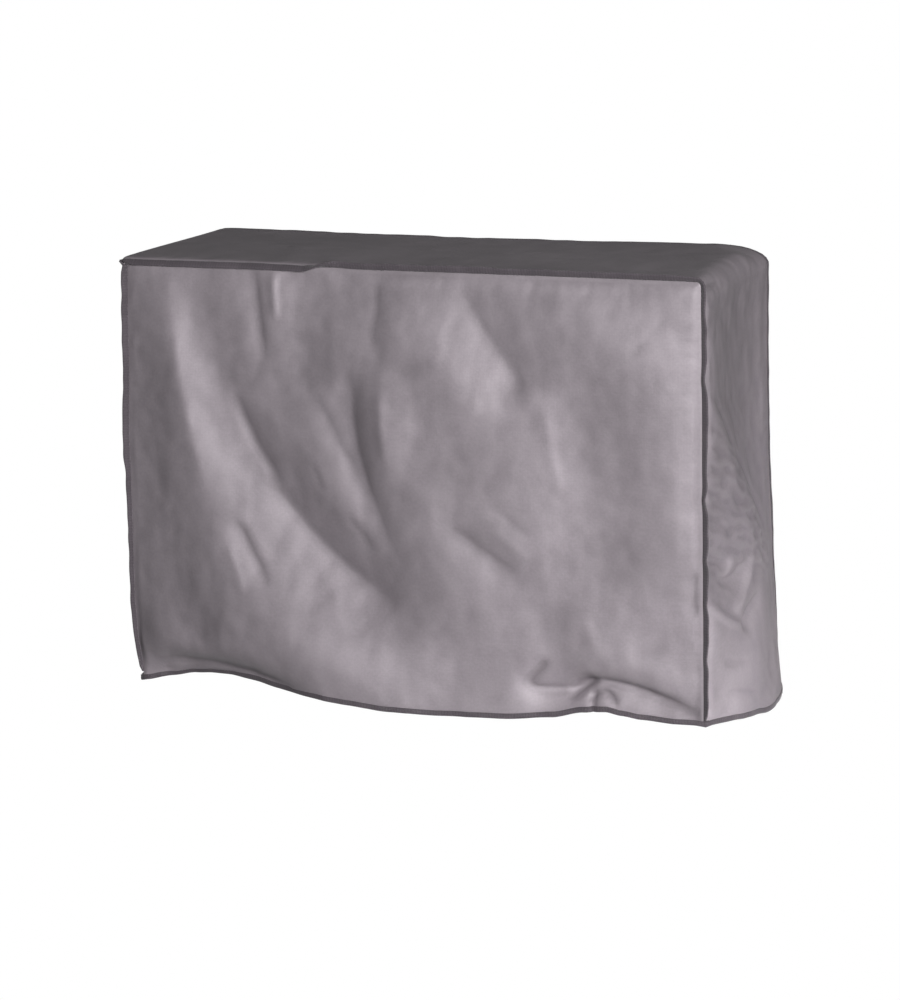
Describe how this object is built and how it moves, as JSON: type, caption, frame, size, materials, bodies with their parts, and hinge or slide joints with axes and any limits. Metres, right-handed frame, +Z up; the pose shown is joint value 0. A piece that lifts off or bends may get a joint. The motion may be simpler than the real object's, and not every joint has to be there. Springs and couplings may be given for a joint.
{
  "type": "condenser cover",
  "caption": "Fitted hollow cloth cover for a wall-hung outdoor unit, open at the bottom, with taped front, back and hem edges and loose folds.",
  "frame": {"origin": "centre of the underside of the top, where the covered unit carries the cloth", "axes": "+X to the right along the width, +Y to the back, +Z up"},
  "size_m": [0.9108, 0.4006, 0.6486],
  "materials": {
    "cloth": "coated woven polyester, soft sheen",
    "tape": "folded binding tape, matte"
  },
  "bodies": {
    "root": {"front_panel": "cloth", "gusset": "cloth", "back_panel": "cloth", "front_binding": "tape", "back_binding": "tape", "hem_binding": "tape"}
  },
  "joints": []
}
